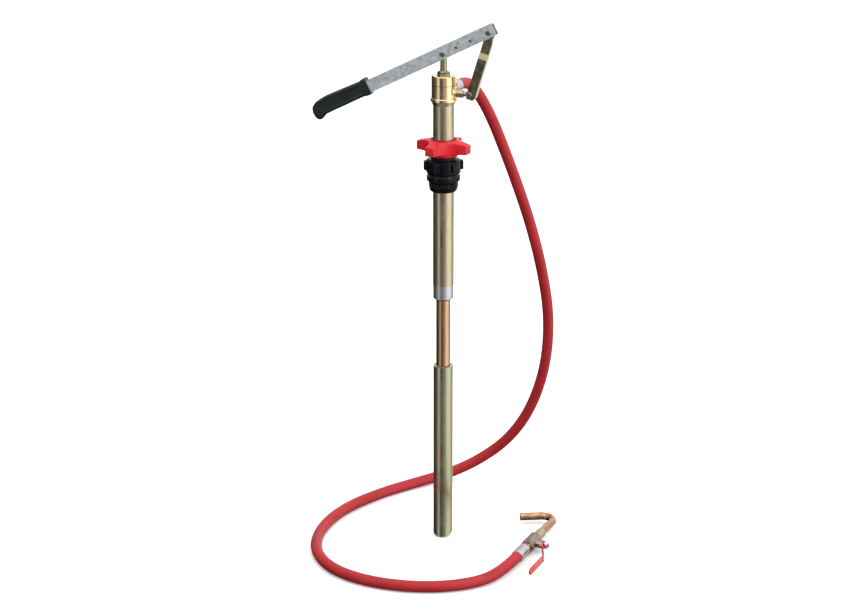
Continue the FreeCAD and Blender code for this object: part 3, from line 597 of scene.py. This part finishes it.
def threaded(radius, height, angle):
    """A thread row's radius on the helix, fading out at both ends; other radii stay."""
    if radius != THREAD_RADIUS:
        return radius
    wave = (height / THREAD_PITCH - angle / (2 * math.pi)) % 1.0
    fade = min(1.0, (height + 11.2) / 1.5, (1.0 - height) / 0.8)
    return THREAD_RADIUS - THREAD_DEPTH * max(0.0, fade) * abs(2 * wave - 1)


def bung_adapter():
    """The moulded adapter: a threaded nose, a shouldered collar, a waist and six lugs."""
    outline = soft_outline(NOSE + COLLAR)
    nose_end = next(k for k, (_, z) in enumerate(outline) if z > THREAD_LOW)
    outline[nose_end:nose_end] = [(THREAD_RADIUS, THREAD_LOW + k * THREAD_PITCH / ROWS_PER_TURN)
                                  for k in range(THREAD_ROWS)]
    bm = bmesh.new()
    spin(bm, 144, lambda angle: [(threaded(r, z, angle), z) for r, z in outline])
    for index in range(LUGS):
        turn = Matrix.Rotation(math.radians(FIRST_LUG + 360 / LUGS * index), 4, "Z")
        block(bm, (33.0, -6.4, 21.0), (39.5, 6.4, 40.0), turn, 1.9, 4)
        block(bm, (33.0, -8.2, 39.2), (35.2, 8.2, 40.8), turn, 0.7, 2)
    return piece("adapter_moulded", bm, "bung_adapter", sharp=40)


GRIP_STATIONS = [
    # outer x, z; inner x, z; half width; how far the side panel is sunk there (0 to 1)
    (-168.0, 18.0, -168.0, -10.4, 11.2, 0), (-168.3, 19.7, -168.3, -12.0, 12.2, 0),
    (-169.4, 21.0, -169.4, -13.0, 12.6, 0), (-172.0, 21.6, -172.0, -13.6, 12.7, 0),
    (-176.0, 21.5, -176.0, -13.5, 12.6, 0), (-179.0, 20.8, -179.0, -13.0, 12.3, 0),
    (-182.0, 19.8, -182.0, -12.2, 12.0, 0), (-185.0, 19.4, -185.0, -11.6, 11.9, 0.1),
    (-187.0, 19.3, -187.0, -11.5, 11.8, 0.9), (-190.0, 19.4, -190.0, -11.5, 11.8, 1),
    (-205.0, 19.9, -205.0, -11.5, 12.0, 1), (-222.0, 20.5, -221.0, -11.6, 12.1, 1),
    (-236.0, 20.9, -234.0, -11.6, 12.2, 1), (-250.0, 21.4, -247.0, -11.6, 12.3, 1),
    (-262.0, 21.6, -258.0, -11.7, 12.3, 1), (-272.0, 21.0, -267.0, -11.8, 12.2, 1),
    (-280.0, 19.7, -273.5, -11.9, 12.1, 0.9), (-284.0, 18.6, -276.0, -12.1, 12.0, 0.1),
    (-289.0, 16.6, -279.0, -12.6, 11.7, 0), (-294.0, 13.4, -281.2, -13.8, 11.3, 0),
    (-297.2, 9.0, -283.4, -15.2, 10.8, 0), (-299.2, 3.5, -285.4, -16.4, 10.3, 0),
    (-300.0, -2.5, -287.6, -17.2, 9.6, 0), (-299.4, -8.0, -289.8, -17.5, 8.6, 0),
    (-297.6, -12.6, -292.0, -17.3, 6.8, 0), (-296.0, -14.8, -293.6, -16.6, 4.4, 0),
]
GRIP_CORNER = 4.4
PANEL_SINK = 0.9
PANEL_SIDE = [(0.93, 0.0), (0.86, 0.25), (0.80, 0.9), (0.74, 1.0), (0.5, 0.94), (0.25, 0.88)]


def grip_section(half_high, half_wide, sunk):
    """A rounded rectangle as (across, up) points, with a panel sunk in both sides."""
    corner = min(GRIP_CORNER, half_high * 0.9, half_wide * 0.9)
    flat, side = half_wide - corner, half_high - corner
    quarter = [(flat * share, half_high) for share in (0.0, 0.35, 0.7)]
    for k in range(7):
        turn = math.pi / 2 * (1 - k / 6)
        quarter.append((flat + corner * math.cos(turn), side + corner * math.sin(turn)))
    for share, depth in PANEL_SIDE:
        quarter.append((half_wide - PANEL_SINK * depth * sunk, side * share))
    points = quarter + [(half_wide - 0.8 * sunk, 0.0)]
    points += [(y, -z) for y, z in reversed(quarter)]
    return points + [(-y, z) for y, z in reversed(points[1:-1])]


def lever_grip():
    """The moulded grip: a collar lip, sunk side panels and a downturned end."""
    bm = bmesh.new()
    rings = []
    for outer_x, outer_z, inner_x, inner_z, half_wide, sunk in GRIP_STATIONS:
        outer, inner = Vector((outer_x, 0, outer_z)), Vector((inner_x, 0, inner_z))
        middle, up = (outer + inner) / 2, (outer - inner).normalized()
        section = grip_section((outer - inner).length / 2, half_wide, sunk)
        rings.append([bm.verts.new((middle + Vector((0, y, 0)) + up * z) * MM)
                      for y, z in section])
    skin(bm, rings)
    bm.faces.new(rings[0])
    bm.faces.new(rings[-1])
    return piece("grip_moulded", bm, "lever_grip", LEVER, sharp=50)


hose_piece = hose()
ferrule("pump_ferrule", *PUMP_FERRULE, OUTLET)
valve_ferrule = ferrule("valve_ferrule", *VALVE_FERRULE, VALVE)
star_nut()
bung_adapter()
lever_grip()

edged("lever_channel", 1.2)
edged("link_channel", 0.6, sharp=1.0)   # flat facets, so the joggle reflects apart from the walls
for cad_node, width in (("anchor_eye", 0.8), ("anchor_lock_nut", 0.7), ("rod_bolt", 1.0),
                        ("rod_bolt_nut", 0.5), ("link_upper_bolt", 1.0), ("link_upper_nut", 0.5),
                        ("link_lower_bolt", 1.0), ("link_lower_nut", 0.5), ("gland_nut", 0.7),
                        ("outlet_nipple", 0.4)):
    edged(cad_node, width)
valve_parts = [edged(cad_node, width) for cad_node, width in (
    ("hose_tail", 0.5), ("valve_body", 0.6), ("stem_gland_nut", 0.4), ("handle_nut", 0.5),
    ("valve_handle", 0.9), ("spout_connector", 0.5))]

# ------------------------------------------------------------------ floor and light
# Places and sizes are in metres from here on.

FLOOR_LEVEL = CAD_BOX[0][2] - 0.0003
bpy.ops.mesh.primitive_plane_add(size=60, location=(0, 0, FLOOR_LEVEL))
floor = bpy.context.object
floor.name = "floor"
g = Graph("floor")
floor.data.materials.append(g.finish((0.93, 0.93, 0.93), 0.6, Specular_IOR_Level=0.2,
                                     Emission_Color=(1, 1, 1, 1), Emission_Strength=0.16))
floor.visible_glossy = False
floor.visible_diffuse = False

ROOM_BASE = 0.42
ROOM = [                                # heading, start, stop and amount of each light or shade
    (heading(-8), 0.62, 0.96, 1.35),
    (heading(155), 0.10, 0.90, -0.36),
    (heading(80), 0.72, 0.95, 0.62),
    (heading(-126, -18), 0.955, 0.992, 0.62),
    (heading(-99, -18), 0.915, 0.99, -0.34),
    (UP, -0.17, 0.08, 0.50),
    (UP, 0.60, 0.95, 1.1),
    (-UP, 0.35, 0.85, -0.22),
]


def studio_world():
    """White to the camera; to all else a room with soft lights and shades over an even base."""
    world = bpy.data.worlds.new("studio")
    bpy.context.scene.world = world
    world.use_nodes = True
    tree = world.node_tree
    back = tree.nodes["Background"]
    back.inputs["Color"].default_value = (1, 1, 1, 1)
    way = tree.nodes.new("ShaderNodeTexCoord").outputs["Generated"]
    total = ROOM_BASE
    for towards, start, stop, amount in ROOM:
        dot = tree.nodes.new("ShaderNodeVectorMath")
        dot.operation = "DOT_PRODUCT"
        dot.inputs[1].default_value = towards
        join(tree, way, dot.inputs[0])
        reach = tree.nodes.new("ShaderNodeMapRange")
        reach.interpolation_type = "SMOOTHSTEP"
        for key, value in (("Value", dot.outputs["Value"]), ("From Min", start),
                           ("From Max", stop), ("To Max", amount)):
            join(tree, value, reach.inputs[key])
        add = tree.nodes.new("ShaderNodeMath")
        add.operation = "ADD"
        join(tree, total, add.inputs[0])
        join(tree, reach.outputs[0], add.inputs[1])
        total = add.outputs[0]
    choose = tree.nodes.new("ShaderNodeMix")
    join(tree, tree.nodes.new("ShaderNodeLightPath").outputs["Is Camera Ray"], choose.inputs[0])
    join(tree, total, choose.inputs[2])
    join(tree, 1.0, choose.inputs[3])
    join(tree, choose.outputs[0], back.inputs["Strength"])


LIGHT_DISTANCE = 2.4


def area_light(name, angle, height, aim, size, energy):
    """A soft box that stands at an angle round the pump and faces a height on its axis."""
    data = bpy.data.lights.new(name, "AREA")
    data.shape = "RECTANGLE"
    data.size, data.size_y = size
    data.energy = energy
    made = bpy.data.objects.new(name, data)
    made.location = heading(angle) * LIGHT_DISTANCE + UP * height
    made.rotation_euler = (made.location - UP * aim).to_track_quat("Z", "Y").to_euler()
    bpy.context.collection.objects.link(made)


studio_world()
area_light("key", -25, 1.5, -0.1, (0.7, 1.4), 22)
area_light("fill", -125, 1.2, 0.0, (0.5, 1.2), 6)
